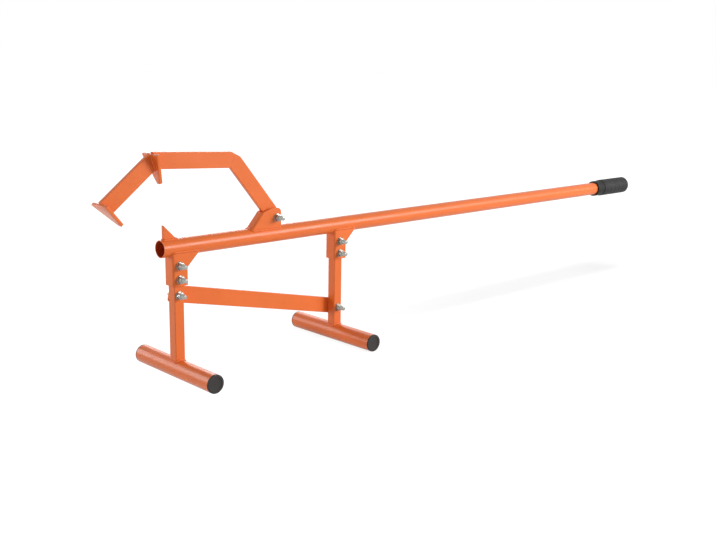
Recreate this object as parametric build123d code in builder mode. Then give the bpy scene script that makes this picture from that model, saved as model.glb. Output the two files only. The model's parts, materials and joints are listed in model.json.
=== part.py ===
from build123d import *

import os
from math import cos, radians, sin, tan

os.makedirs("parts", exist_ok=True)

# Lever tube: one straight round steel tube, open at the front
tube_od = 32.0
tube_wall = 1.5
tube_length = 1502.0
tube_axis_z = 244.0

# Rubber hand grip pushed over the tube's rear end: a slim neck and a thicker, grooved body
grip_length = 146.0
grip_neck_length = 30.0
grip_neck_od = 40.0
grip_body_od = 43.0
grip_rim = 1.5
grip_end_wall = 5.0
grip_end_round = 4.0
grip_slip = 0.05
grip_groove_count = 6
grip_groove_pitch = 19.0
grip_groove_width = 4.0
grip_groove_depth = 0.8

# Two legs, each a square post welded on a round cross foot
front_leg_setback = 31.5
leg_spacing = 387.0
post_side = 20.0
post_wall = 2.0
post_corner = 1.5
post_top_gap = 2.0
foot_od = 35.0
foot_wall = 2.5
foot_length = 234.0

# Plastic plugs in the foot ends
plug_flange = 3.0
plug_rim = 1.2
plug_spigot_length = 14.0
plug_spigot_wall = 2.5
plug_slip = 0.1
plug_dish_depth = 1.0
plug_dish_margin = 5.0

# Folded U brackets that join the posts to the lever tube
leg_plate = 4.0
leg_slip = 0.25
leg_bracket_drop = 53.0
leg_cheek_reach = 16.0
gusset_drop = 20.0
gusset_reach = 41.0
leg_fold_radius = 4.0
upper_bolt_drop = 16.0
leg_bolt_pitch = 25.0

# Flat brace between the posts, on their far side
brace_width = 32.0
brace_thick = 4.0
brace_bracket_gap = 2.2
brace_rear_rise = 36.0
brace_end = 8.0
brace_corner = 5.0
brace_edge_round = 0.8

# Swinging hook: three flat bars and two toothed cross plates
bar_width = 30.0
bar_thick = 8.0
bar_edge_round = 1.0
rear_arm_length = 151.0
rear_arm_angle = 50.3
top_arm_length = 170.0
top_arm_tilt = 2.8
front_arm_length = 120.0
front_arm_angle = 38.5
rear_corner_flat = 11.0
tooth_base = 50.0
tooth_tip = 9.0
tooth_thick = 6.0
tooth_rise = 12.0
tooth_reach = 43.0
tip_tooth_lean = 8.0

# Hook pivot: folded U bracket on the tube, the bush that the hook turns on and its spacers
pivot_setback = 256.5
pivot_rise = 17.0
pivot_plate = 4.0
pivot_side_play = 0.4
pivot_web_top = 12.0
pivot_web_angle = 49.0
pivot_cheek_top = 18.5
pivot_cheek_peak = 14.0
pivot_cheek_rear = 9.5
pivot_cheek_round = 9.0
pivot_fold_radius = 5.0
stop_gap = 0.2
bush_od = 16.0
bush_running_gap = 0.05
spacer_od = 28.0
spacer_thick = 2.5

# M8 bolts, nuts and washers, the same on the legs, the brace and the pivot
bolt_d = 8.0
bolt_hole_d = 8.5
bolt_tail = 10.0
hex_across = 13.0
head_height = 5.3
nut_height = 8.0
washer_od = 16.0
washer_thick = 1.6
thread_gap = 0.05
washer_gap = 0.25

# Front spike: an upright fin on the tube's open end
spike_thick = 8.0
spike_setback = 6.5
spike_height = 26.0
spike_base = 26.0
spike_edge_round = 0.8

# Directions along the hook's bars, from the pivot round to the tip
rear_up = Vector(-cos(radians(rear_arm_angle)), 0, sin(radians(rear_arm_angle)))
top_forward = Vector(-cos(radians(top_arm_tilt)), 0, sin(radians(top_arm_tilt)))
front_down = Vector(-cos(radians(front_arm_angle)), 0, -sin(radians(front_arm_angle)))

# The tip tooth leans from the square end of its arm, so that it bites as the hook closes
tip_slope = radians(front_arm_angle + tip_tooth_lean)
tip_facing = Vector(-cos(tip_slope), 0, -sin(tip_slope))
tip_outward = Vector(-sin(tip_slope), 0, cos(tip_slope))

# The origin is on the floor, halfway along the object's overall length
hook_run = rear_up * rear_arm_length + top_forward * top_arm_length + front_down * front_arm_length
tooth_overhang = tip_facing * tooth_thick + tip_outward * tooth_rise
hook_reach = -(pivot_setback + hook_run.X + tooth_overhang.X)
overall_tube_length = tube_length + grip_end_wall
tube_front_x = (hook_reach - overall_tube_length) / 2
tube_rear_x = tube_front_x + tube_length
tube_top_z = tube_axis_z + tube_od / 2
tube_under_z = tube_axis_z - tube_od / 2

leg_x = {"front": tube_front_x + front_leg_setback}
leg_x["rear"] = leg_x["front"] + leg_spacing
foot_axis_z = foot_od / 2
upper_bolt_z = tube_under_z - upper_bolt_drop
lower_bolt_z = upper_bolt_z - leg_bolt_pitch
bracket_foot_z = tube_under_z - leg_bracket_drop
brace_z = {"front": bracket_foot_z - brace_bracket_gap - brace_width / 2}
brace_z["rear"] = foot_od + brace_rear_rise

pivot = Vector(tube_front_x + pivot_setback, 0, tube_top_z + pivot_rise)
rear_corner = pivot + rear_up * rear_arm_length
front_corner = rear_corner + top_forward * top_arm_length
arm_tip = front_corner + front_down * front_arm_length

toward_viewer = (0, -1, 0)
rear_bend = (rear_up + top_forward).normalized()
rear_outward = (rear_up - top_forward).normalized()
front_bend = (top_forward + front_down).normalized()


def save(piece, name):
    """Label a finished piece and write it to its own file."""
    piece.part.label = name
    export_step(piece.part, f"parts/{name}.step")


def tube_saddle():
    """The lever tube's outside, as a cutter for what is welded to it."""
    return Pos(tube_front_x + tube_length / 2, 0, tube_axis_z) * Cylinder(
        tube_od / 2, tube_length, rotation=(0, 90, 0), mode=Mode.PRIVATE
    )


def side_outlines(plate):
    """The outer edges of a plate's two broad faces, near and far."""
    faces = plate.faces().sort_by(Axis.Y)
    return faces[0].outer_wire().edges() + faces[-1].outer_wire().edges()


def hex_bolts(places, near_seat, far_seat):
    """Hex bolts along Y at the X, Z places: heads on the far washers, shanks past the near nuts."""
    head_seat = far_seat + washer_thick
    shank_end = near_seat + washer_thick + nut_height + bolt_tail
    with BuildPart() as bolts:
        with BuildSketch(Plane.XZ.offset(-head_seat)):
            with Locations(*places):
                RegularPolygon(hex_across / 2, 6, major_radius=False)
        extrude(amount=-head_height)
        with BuildSketch(Plane.XZ.offset(-head_seat)):
            with Locations(*places):
                Circle(bolt_d / 2)
        extrude(amount=head_seat + shank_end)
    return bolts


def hex_nuts(places, near_seat):
    """Hex nuts along Y at the X, Z places, on the near washers."""
    with BuildPart() as nuts:
        with BuildSketch(Plane.XZ.offset(near_seat + washer_thick)):
            with Locations(*places):
                RegularPolygon(hex_across / 2, 6, major_radius=False)
                Circle(bolt_d / 2 + thread_gap, mode=Mode.SUBTRACT)
        extrude(amount=nut_height)
    return nuts


def ring_pairs(places, near_seat, far_seat, outer_r, bore_r, thick):
    """Pairs of flat rings along Y: one on y = -near_seat, one on y = far_seat, at each X, Z place."""
    with BuildPart() as rings:
        for seat_plane in (Plane.XZ.offset(near_seat), Plane.XZ.offset(-far_seat - thick)):
            with BuildSketch(seat_plane):
                with Locations(*places):
                    Circle(outer_r)
                    Circle(bore_r, mode=Mode.SUBTRACT)
            extrude(amount=thick)
    return rings


def flat_washers(places, near_seat, far_seat):
    """Washers for the bolts: one under each nut and one under each head."""
    return ring_pairs(places, near_seat, far_seat, washer_od / 2, bolt_d / 2 + washer_gap, washer_thick)


# Lever tube
with BuildPart() as lever_tube:
    with BuildSketch(Plane.YZ.offset(tube_front_x)):
        with Locations((0, tube_axis_z)):
            Circle(tube_od / 2)
            Circle(tube_od / 2 - tube_wall, mode=Mode.SUBTRACT)
    extrude(amount=tube_length)
save(lever_tube, "lever_tube")

# Hand grip: a slim neck, a slope up to the grooved body and a closed rounded end
grip_rear_x = tube_rear_x + grip_end_wall
grip_front_x = grip_rear_x - grip_length
grip_body_x = grip_front_x + grip_neck_length
grip_neck_z = tube_axis_z + grip_neck_od / 2
grip_body_z = tube_axis_z + grip_body_od / 2
grip_bore_z = tube_axis_z + tube_od / 2 + grip_slip
grip_axis = Axis((0, 0, tube_axis_z), (1, 0, 0))
groove_start_x = grip_body_x + grip_rim + grip_groove_pitch / 2
with BuildPart() as hand_grip:
    with BuildSketch(Plane.XZ):
        with BuildLine():
            Polyline(
                (grip_front_x, grip_bore_z),
                (grip_front_x, grip_neck_z),
                (grip_body_x, grip_neck_z),
                (grip_body_x + grip_rim, grip_body_z),
                (grip_rear_x, grip_body_z),
                (grip_rear_x, tube_axis_z),
                (tube_rear_x, tube_axis_z),
                (tube_rear_x, grip_bore_z),
                close=True,
            )
        make_face()
    revolve(axis=grip_axis)
    fillet(hand_grip.edges().filter_by(GeomType.CIRCLE).group_by(Axis.X)[-1], grip_end_round)
    with BuildSketch(Plane.XZ):
        for groove in range(grip_groove_count):
            with Locations((groove_start_x + groove * grip_groove_pitch, grip_body_z)):
                Rectangle(grip_groove_width, 2 * grip_groove_depth)
    revolve(axis=grip_axis, mode=Mode.SUBTRACT)
save(hand_grip, "hand_grip")

# Front spike: a right-angled fin, cut to sit on the tube
spike_x = tube_front_x + spike_setback
with BuildPart() as front_spike:
    with BuildSketch(Plane.XZ):
        with BuildLine():
            Polyline(
                (spike_x, tube_axis_z),
                (spike_x, tube_top_z + spike_height),
                (spike_x + spike_base, tube_top_z),
                (spike_x + spike_base, tube_axis_z),
                close=True,
            )
        make_face()
    extrude(amount=spike_thick / 2, both=True)
    fillet(side_outlines(front_spike), spike_edge_round)
    add(tube_saddle(), mode=Mode.SUBTRACT)
save(front_spike, "front_spike")

# Legs: U bracket, post, foot and plugs, front and rear alike
pocket_half = post_side / 2 + leg_slip
bracket_half = pocket_half + leg_plate
foot_inner_r = foot_od / 2 - foot_wall
post_top_z = tube_under_z - post_top_gap
for leg, post_x in leg_x.items():
    bracket_bolts = [(post_x, upper_bolt_z), (post_x, lower_bolt_z)]

    with BuildPart() as leg_bracket:
        with BuildSketch(Plane.XZ):
            with BuildLine():
                Polyline(
                    (post_x - bracket_half, bracket_foot_z),
                    (post_x - bracket_half, tube_axis_z),
                    (post_x + gusset_reach, tube_axis_z),
                    (post_x + gusset_reach, tube_under_z - gusset_drop + gusset_reach - leg_cheek_reach),
                    (post_x + leg_cheek_reach, tube_under_z - gusset_drop),
                    (post_x + leg_cheek_reach, bracket_foot_z),
                    close=True,
                )
            make_face()
        extrude(amount=bracket_half, both=True)
        fillet(leg_bracket.edges().filter_by(Axis.Z).group_by(Axis.X)[0], leg_fold_radius)
        with BuildSketch(Plane.XY.offset(bracket_foot_z)):
            with Locations((post_x - pocket_half, 0)):
                Rectangle(
                    pocket_half + gusset_reach, 2 * pocket_half, align=(Align.MIN, Align.CENTER)
                )
        extrude(amount=tube_axis_z - bracket_foot_z, mode=Mode.SUBTRACT)
        add(tube_saddle(), mode=Mode.SUBTRACT)
        with BuildSketch(Plane.XZ):
            with Locations(*bracket_bolts):
                Circle(bolt_hole_d / 2)
        extrude(amount=bracket_half, both=True, mode=Mode.SUBTRACT)
    save(leg_bracket, f"{leg}_leg_bracket")

    with BuildPart() as post:
        with BuildSketch(Plane.XY.offset(foot_axis_z)):
            with Locations((post_x, 0)):
                RectangleRounded(post_side, post_side, post_corner)
                Rectangle(post_side - 2 * post_wall, post_side - 2 * post_wall, mode=Mode.SUBTRACT)
        extrude(amount=post_top_z - foot_axis_z)
        with Locations((post_x, 0, foot_axis_z)):
            Cylinder(foot_od / 2, foot_length, rotation=(90, 0, 0), mode=Mode.SUBTRACT)
        with BuildSketch(Plane.XZ):
            with Locations(*bracket_bolts, (post_x, brace_z[leg])):
                Circle(bolt_hole_d / 2)
        extrude(amount=post_side / 2, both=True, mode=Mode.SUBTRACT)
    save(post, f"{leg}_post")

    with BuildPart() as foot:
        with BuildSketch(Plane.XZ):
            with Locations((post_x, foot_axis_z)):
                Circle(foot_od / 2)
                Circle(foot_inner_r, mode=Mode.SUBTRACT)
        extrude(amount=foot_length / 2, both=True)
    save(foot, f"{leg}_foot")

    for end, side in (("near", -1), ("far", 1)):
        end_plane = Plane(
            origin=(post_x, side * foot_length / 2, foot_axis_z), x_dir=(1, 0, 0), z_dir=(0, side, 0)
        )
        with BuildPart() as plug:
            with BuildSketch(end_plane):
                Circle(foot_od / 2)
            extrude(amount=plug_flange)
            chamfer(plug.edges().sort_by(Axis.Y)[-1 if side > 0 else 0], plug_rim)
            with BuildSketch(end_plane.offset(plug_flange)):
                Circle(foot_od / 2 - plug_dish_margin)
            extrude(amount=-plug_dish_depth, mode=Mode.SUBTRACT)
            with BuildSketch(end_plane):
                Circle(foot_inner_r - plug_slip)
                Circle(foot_inner_r - plug_slip - plug_spigot_wall, mode=Mode.SUBTRACT)
            extrude(amount=-plug_spigot_length)
        save(plug, f"{leg}_foot_plug_{end}")

    save(hex_bolts(bracket_bolts, bracket_half, bracket_half), f"{leg}_leg_bolts")
    save(hex_nuts(bracket_bolts, bracket_half), f"{leg}_leg_nuts")
    save(flat_washers(bracket_bolts, bracket_half, bracket_half), f"{leg}_leg_washers")

# Brace: a flat bar from high on the front post to low on the rear post
brace_bolts = [(leg_x[leg], brace_z[leg]) for leg in leg_x]
brace_start = Vector(leg_x["front"], post_side / 2, brace_z["front"])
brace_run = Vector(leg_spacing, 0, brace_z["rear"] - brace_z["front"])
brace_plane = Plane(origin=brace_start, x_dir=brace_run.normalized(), z_dir=(0, 1, 0))
brace_far_y = post_side / 2 + brace_thick
with BuildPart() as leg_brace:
    with BuildSketch(brace_plane):
        with Locations((brace_run.length / 2, 0)):
            RectangleRounded(brace_run.length + 2 * brace_end, brace_width, brace_corner)
        with Locations((0, 0), (brace_run.length, 0)):
            Circle(bolt_hole_d / 2, mode=Mode.SUBTRACT)
    extrude(amount=brace_thick)
    fillet(side_outlines(leg_brace), brace_edge_round)
save(leg_brace, "leg_brace")

save(hex_bolts(brace_bolts, post_side / 2, brace_far_y), "brace_bolts")
save(hex_nuts(brace_bolts, post_side / 2), "brace_nuts")
save(flat_washers(brace_bolts, post_side / 2, brace_far_y), "brace_washers")

# Hook bars: the rear arm turns on the pivot bush, and the corners are mitred
rear_mitre = Plane(origin=rear_corner, x_dir=(0, 1, 0), z_dir=rear_bend)
rear_flat = Plane(origin=rear_corner + rear_outward * rear_corner_flat, x_dir=(0, 1, 0), z_dir=rear_outward)
tooth_rear_face = Plane(
    origin=front_corner - front_bend * (tooth_thick / 2), x_dir=(0, 1, 0), z_dir=front_bend
)
tooth_front_face = tooth_rear_face.offset(tooth_thick)
tip_face = Plane(origin=arm_tip, x_dir=(0, 1, 0), z_dir=tip_facing)

with BuildPart() as hook_rear_arm:
    with BuildSketch(Plane(origin=pivot, x_dir=rear_up, z_dir=toward_viewer)):
        Circle(bar_width / 2)
        Rectangle(rear_arm_length + bar_width, bar_width, align=(Align.MIN, Align.CENTER))
        Circle(bush_od / 2 + bush_running_gap, mode=Mode.SUBTRACT)
    extrude(amount=bar_thick / 2, both=True)
    fillet(side_outlines(hook_rear_arm), bar_edge_round)
    split(bisect_by=rear_mitre, keep=Keep.BOTTOM)
    split(bisect_by=rear_flat, keep=Keep.BOTTOM)
save(hook_rear_arm, "hook_rear_arm")

with BuildPart() as hook_top_arm:
    with BuildSketch(Plane(origin=rear_corner, x_dir=top_forward, z_dir=toward_viewer)):
        with Locations((top_arm_length / 2, 0)):
            Rectangle(top_arm_length + 2 * bar_width, bar_width)
    extrude(amount=bar_thick / 2, both=True)
    fillet(side_outlines(hook_top_arm), bar_edge_round)
    split(bisect_by=rear_mitre, keep=Keep.TOP)
    split(bisect_by=rear_flat, keep=Keep.BOTTOM)
    split(bisect_by=tooth_rear_face, keep=Keep.BOTTOM)
save(hook_top_arm, "hook_top_arm")

with BuildPart() as hook_front_arm:
    with BuildSketch(Plane(origin=front_corner, x_dir=front_down, z_dir=toward_viewer)):
        with Locations((front_arm_length / 2, 0)):
            Rectangle(front_arm_length + 2 * bar_width, bar_width)
    extrude(amount=bar_thick / 2, both=True)
    fillet(side_outlines(hook_front_arm), bar_edge_round)
    split(bisect_by=tooth_front_face, keep=Keep.TOP)
    split(bisect_by=tip_face, keep=Keep.BOTTOM)
save(hook_front_arm, "hook_front_arm")

# Hook teeth: tapered cross plates, one in the front corner and one on the tip
for tooth_name, tooth_plane in (("hook_corner_tooth", tooth_rear_face), ("hook_tip_tooth", tip_face)):
    with BuildPart() as tooth:
        with BuildSketch(tooth_plane):
            with BuildLine():
                Polyline(
                    (-tooth_base / 2, -tooth_rise),
                    (tooth_base / 2, -tooth_rise),
                    (tooth_tip / 2, tooth_reach),
                    (-tooth_tip / 2, tooth_reach),
                    close=True,
                )
            make_face()
        extrude(amount=tooth_thick)
    save(tooth, tooth_name)

# Pivot bracket: two cheeks and a sloping front web, whose top edge is the hook's stop
spacer_seat = bar_thick / 2 + pivot_side_play
cheek_inner = spacer_seat + spacer_thick
cheek_outer = cheek_inner + pivot_plate
web_top_z = pivot.Z + pivot_web_top
web_slope = radians(pivot_web_angle)
arm_slope = radians(rear_arm_angle)
arm_inner_edge_x = pivot.X - (bar_width / 2 + pivot_web_top * cos(arm_slope)) / sin(arm_slope)
web_inner_top_x = arm_inner_edge_x - stop_gap
web_outer_top_x = web_inner_top_x - pivot_plate / sin(web_slope)
web_run = (web_top_z - tube_axis_z) / tan(web_slope)
cheek_top_z = pivot.Z + pivot_cheek_top
cheek_peak_x = pivot.X - pivot_cheek_peak
cheek_rear_x = pivot.X + pivot_cheek_rear
with BuildPart() as pivot_bracket:
    with BuildSketch(Plane.XZ):
        with BuildLine():
            Polyline(
                (web_outer_top_x - web_run, tube_axis_z),
                (web_outer_top_x, web_top_z),
                (cheek_peak_x, cheek_top_z),
                (cheek_rear_x, cheek_top_z),
                (cheek_rear_x, tube_axis_z),
                close=True,
            )
        make_face()
    extrude(amount=cheek_outer, both=True)
    top_edges = pivot_bracket.edges().filter_by(Axis.Y).group_by(Axis.Z)[-1]
    fillet(top_edges.sort_by(Axis.X)[-1], pivot_cheek_round)
    front_edges = Axis((0, 0, 0), (cos(web_slope), 0, sin(web_slope)))
    fillet(pivot_bracket.edges().filter_by(front_edges), pivot_fold_radius)
    with BuildSketch(Plane.XZ):
        with BuildLine():
            Polyline(
                (web_inner_top_x - web_run, tube_axis_z),
                (web_inner_top_x, web_top_z),
                (web_outer_top_x, web_top_z),
                (web_outer_top_x, cheek_top_z),
                (cheek_rear_x, cheek_top_z),
                (cheek_rear_x, tube_axis_z),
                close=True,
            )
        make_face()
    extrude(amount=cheek_inner, both=True, mode=Mode.SUBTRACT)
    add(tube_saddle(), mode=Mode.SUBTRACT)
    with BuildSketch(Plane.XZ):
        with Locations((pivot.X, pivot.Z)):
            Circle(bolt_hole_d / 2)
    extrude(amount=cheek_outer, both=True, mode=Mode.SUBTRACT)
save(pivot_bracket, "pivot_bracket")

# Pivot bush, clamped between the cheeks so that the arm turns freely on it
with BuildPart() as pivot_bush:
    with BuildSketch(Plane.XZ):
        with Locations((pivot.X, pivot.Z)):
            Circle(bush_od / 2)
            Circle(bolt_d / 2 + thread_gap, mode=Mode.SUBTRACT)
    extrude(amount=cheek_inner, both=True)
save(pivot_bush, "pivot_bush")

# Spacers on the bush, which keep the arm in the middle of the bracket
pivot_place = [(pivot.X, pivot.Z)]
spacer_bore_r = bush_od / 2 + bush_running_gap
save(
    ring_pairs(pivot_place, spacer_seat, spacer_seat, spacer_od / 2, spacer_bore_r, spacer_thick),
    "pivot_spacers",
)

save(hex_bolts(pivot_place, cheek_outer, cheek_outer), "pivot_bolt")
save(hex_nuts(pivot_place, cheek_outer), "pivot_nut")
save(flat_washers(pivot_place, cheek_outer, cheek_outer), "pivot_washers")
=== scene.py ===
"""Looks for a felling lever: powder coat, welds, hardware, hand grip, foot plugs and a small studio."""

import json
from math import cos, pi, radians, sin, tan

import bmesh
import bpy
import numpy as np
from bpy.props import FloatProperty, FloatVectorProperty, PointerProperty
from bpy.types import Operator, Panel, PropertyGroup
from mathutils import Matrix, Vector


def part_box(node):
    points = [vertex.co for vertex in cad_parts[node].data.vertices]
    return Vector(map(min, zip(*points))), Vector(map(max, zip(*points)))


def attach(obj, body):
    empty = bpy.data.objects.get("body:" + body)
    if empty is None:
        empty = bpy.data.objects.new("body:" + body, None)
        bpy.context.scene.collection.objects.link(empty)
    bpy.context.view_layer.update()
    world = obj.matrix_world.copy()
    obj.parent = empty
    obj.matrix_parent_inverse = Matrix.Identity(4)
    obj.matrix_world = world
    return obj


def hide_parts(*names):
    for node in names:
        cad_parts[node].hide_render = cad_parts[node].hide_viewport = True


bl_info = {
    "name": "Felling lever dresser",
    "version": (1, 0, 0),
    "blender": (4, 5, 0),
    "location": "View3D > Sidebar > Lever",
    "description": "Finishes, welds, hardware, grip and plugs for a felling lever",
    "category": "Object",
}

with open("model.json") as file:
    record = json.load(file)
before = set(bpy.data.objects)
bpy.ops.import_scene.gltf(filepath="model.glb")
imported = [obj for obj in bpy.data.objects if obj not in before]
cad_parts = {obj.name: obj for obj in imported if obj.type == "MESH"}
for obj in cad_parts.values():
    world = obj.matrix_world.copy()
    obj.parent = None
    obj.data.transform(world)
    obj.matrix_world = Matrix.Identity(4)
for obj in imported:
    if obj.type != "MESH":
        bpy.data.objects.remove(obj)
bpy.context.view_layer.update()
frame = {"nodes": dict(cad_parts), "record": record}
MM = 0.001

# The photograph's width and the focal length fitted to it, in pixels, and the camera's sensor
PHOTO_WIDTH = 716
PHOTO_FOCAL = 966.25
SENSOR_MM = 36.0

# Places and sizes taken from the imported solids, and the radial room that they leave between mating pieces
LEGS = ("front", "rear")
TUBE_LOW, TUBE_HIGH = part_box("lever_tube")
TUBE_RADIUS = (TUBE_HIGH.z - TUBE_LOW.z) / 2
TUBE_AXIS_Z = (TUBE_LOW.z + TUBE_HIGH.z) / 2
PIVOT = np.array(frame["record"]["behaviour"]["joints"][0]["pos_m"])
ROOM = 0.05 * MM

# The hook's bars: each one's length in millimetres and its slope in degrees, from the pivot to the tip. Then
# its teeth, and the tip tooth's slope
HOOK_BARS = ((151.0, 50.3), (170.0, 2.8), (120.0, -38.5))
TEETH = ("hook_corner_tooth", "hook_tip_tooth")
TIP_TOOTH_SLOPE = -46.5

# Fasteners by place: bolts, nuts and washers
FASTENERS = (
    ("front_leg_bolts", "front_leg_nuts", "front_leg_washers"),
    ("rear_leg_bolts", "rear_leg_nuts", "rear_leg_washers"),
    ("brace_bolts", "brace_nuts", "brace_washers"),
    ("pivot_bolt", "pivot_nut", "pivot_washers"),
)

# The studio's lamps, as the settings name their places and powers
LAMPS = ("key", "rear", "side", "fill", "back", "overhead")

# Fineness of the meshes: points round a turned piece and round a bead, then rows in a rounded edge, along
# the grip, in one turn of thread, in one ripple of a bead and in a tooth's edge
TURN_SIDES = 96
BEAD_SIDES = 14
ROUND_ROWS = 6
GRIP_ROWS = 220
THREAD_ROWS = 8
RIPPLE_ROWS = 6
EDGE_ROWS = 3

# Points nearer than this are one, in a new mesh and in a solid's. Faces that turn less than the first angle
# are one flat face, and an edge that turns more than the second stays sharp
MERGE = 1e-6
SOLID_MERGE = 1e-5
FLAT_ANGLE = radians(1)
SHARP_ANGLE = radians(35)

# Factors on a finish's colour at the two ends of its pattern; the zinc's are for red, green and blue
COAT_TONES = (0.93, 1.07)
MOULDED_TONES = (0.8, 1.3)
TURNED_TONES = (0.85, 1.05)
ZINC_TONES = ((1.0, 0.97, 0.88), (0.92, 0.97, 1.0))

# The values of a noise between which a finish goes from shiny to dull, and those of the zinc's nicks
NOISE_SPAN = {"From Min": 0.3, "From Max": 0.7}
NICK_SPAN = {"From Min": 0.35, "From Max": 0.7}

# How the coat, the moulded pieces and the metals reflect; a metal keeps the default index of refraction
COAT_SURFACE = {"IOR": 1.5, "Specular IOR Level": 0.35}
MOULDED_SURFACE = {"IOR": 1.5, "Specular IOR Level": 0.3}
METAL_SURFACE = {"Metallic": 1.0}

# Width of the soft bloom on the moulded pieces and depth of their grain, and a wave's spacing at scale 1
BLOOM = 25 * MM
GRAIN_DEPTH = 0.2 * MM
WAVE_SPACING = pi / 10


def linear(hex_colour):
    """sRGB hex digits as linear red, green and blue, by the sRGB standard's curve."""
    srgb = np.array([int(hex_colour[i : i + 2], 16) for i in (0, 2, 4)]) / 255
    return np.where(srgb <= 0.04045, srgb / 12.92, ((srgb + 0.055) / 1.055) ** 2.4).tolist()


def shade(colour, factor=1.0):
    """A colour made darker or lighter by one factor, or by one for each channel, with a full alpha."""
    return (*np.minimum(np.multiply(colour[:3], factor), 1.0).tolist(), 1.0)


def length(name, description, millimetres):
    """A length for the settings, given in millimetres and kept in metres."""
    metres = millimetres * MM
    return FloatProperty(name=name, description=description, default=metres, unit="LENGTH", precision=5)


def share(name, description, default, most=1):
    """A share for the settings, from 0 to 1 or to the most that is given."""
    limits = {"min": 0, "max": most}
    return FloatProperty(name=name, description=description, default=default, subtype="FACTOR", **limits)


def angle(name, description, degrees):
    """An angle for the settings, given in degrees."""
    return FloatProperty(name=name, description=description, default=radians(degrees), subtype="ANGLE")


def tone(name, description, hex_colour):
    """A colour for the settings, given as sRGB hex digits."""
    rgb = linear(hex_colour)
    return FloatVectorProperty(name=name, description=description, default=rgb, min=0, max=1, subtype="COLOR")


def place(name, description, metres):
    """A point or an offset for the settings, in metres."""
    return FloatVectorProperty(name=name, description=description, default=metres, subtype="TRANSLATION")


def power(lamp, watts):
    """A lamp's power for the settings."""
    words = {"name": f"{lamp.capitalize()} power", "description": f"Power of the {lamp} lamp"}
    return FloatProperty(**words, default=watts, min=0, unit="POWER")


class CoatSettings(PropertyGroup):
    """Powder coat on the welded steel."""

    colour: tone("Colour", "Orange of the powder coat", "E8702E")
    shiny: share("Shiny", "Roughness of the satin coat where it is smoothest", 0.28)
    dull: share("Dull", "Roughness of the satin coat where it is dullest", 0.38)
    drift: length("Drift", "Width of the soft patches where the coat is thinner or thicker", 60)
    peel: length("Orange peel", "Width of one orange-peel dimple", 3.5)
    peel_depth: length("Peel depth", "Depth of one orange-peel dimple at full strength", 0.2)
    peel_strength: share("Peel strength", "How much the dimples tilt the surface", 0.6)
    # The bore's colour is painted shade of the deep bore, on the thin coat inside it
    bore: tone("Bore", "Thin dark overspray inside the lever tube", "BE4114")
    bore_shade_edge: length("Bore edge", "From the lever tube's outside to where the overspray starts", 1.2)


class HardwareSettings(PropertyGroup):
    """Zinc-plated M8 bolts, lock nuts and washers, and the pivot's steel bush."""

    bolt: length("Bolt", "Diameter of the bolts", 8)
    pitch: length("Thread pitch", "Distance from one thread to the next", 1.25)
    thread_depth: length("Thread depth", "Depth of the thread", 0.7)
    thread_run: length("Thread run", "Length of thread modelled at the bolt's end", 12)
    tip: length("Tip", "From the thread's root in to the edge of the bolt's flat end", 0.2)
    across: length("Across flats", "Width of the hexagons", 13)
    face: share("Face", "Share of the width across flats that a hexagon's round face has", 0.95)
    head: length("Head height", "Height of a bolt's head", 5.3)
    washer_face: length("Washer face", "Height of the round face under a bolt's head", 0.3)
    collar_start: length("Collar start", "Height at which a nut's collar leaves its hexagon", 5.6)
    collar: length("Collar", "Diameter of a nut's collar", 11.4)
    collar_roll: length("Collar roll", "Round on the edge of a nut's collar", 0.9)
    washer_outer: length("Washer", "Outer diameter of the washers", 16)
    washer_inner: length("Washer hole", "Inner diameter of the washers", 8.5)
    washer_thick: length("Washer thickness", "Thickness of the washers", 1.6)
    spacer_outer: length("Spacer", "Outer diameter of the pivot's spacers", 28)
    spacer_inner: length("Spacer hole", "Inner diameter of the pivot's spacers", 16.1)
    spacer_thick: length("Spacer thickness", "Thickness of the pivot's spacers", 2.5)
    edge: length("Edge", "Broken edge on the washers, the spacers and the nuts' bores", 0.3)
    zinc: tone("Zinc", "Colour of the zinc plate", "A3A29F")
    shiny: share("Shiny", "Roughness of the zinc plate's bright patches", 0.19)
    dull: share("Dull", "Roughness of the zinc plate's nicked patches", 0.39)
    patch: length("Zinc patches", "Width of the plate's lighter and darker patches", 4)
    steel: tone("Bush steel", "Colour of the turned bush", "A9A6A2")
    steel_roughness: share("Bush roughness", "Roughness of the turned bush", 0.32)
    turning: length("Turning marks", "Distance between the turning marks on the bush", 0.5)
    relief: length("Relief", "Height of the plate's patches and of the turning marks", 0.05)


class GripSettings(PropertyGroup):
    """Moulded rubber hand grip."""

    neck: length("Neck", "Diameter of the neck", 40)
    neck_length: length("Neck length", "Length of the neck", 30)
    rise: length("Rise", "Length of the slope from the neck to the body", 1.5)
    lip: length("Lip", "Round on the neck's front edge", 1.2)
    groove_pitch: length("Groove pitch", "Distance from one ring groove to the next", 19)
    groove_width: length("Groove width", "Width of a ring groove", 4)
    groove_depth: length("Groove depth", "Depth of a ring groove", 0.8)
    end_round: length("End round", "Round on the closed end", 4)
    end_dish: length("End dish", "Depth of the shallow dish in the closed end", 0.8)
    dish_margin: length("Dish margin", "Width of the closed end's flat rim round the dish", 2)
    dish_floor: share("Dish floor", "Share of the dish's width that its flat floor has", 0.86)
    gate: length("Gate mark", "Radius of the moulding's gate mark in the dish", 2)
    gate_top: length("Gate top", "Radius of the gate mark's flat top", 1.6)
    colour: tone("Colour", "Black of the rubber", "1D1C1C")
    # The neck's deeper black is painted shade, for the dark ring where the grip meets the tube
    neck_painted_shade: tone("Neck colour", "Deeper black of the smooth neck", "0B0908")
    shiny: share("Shiny", "Roughness of the rubber where it is cleanest", 0.54)
    dull: share("Dull", "Roughness of the rubber under its bloom", 0.68)
    grain: length("Grain", "Width of the moulded grain", 0.9)


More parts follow.
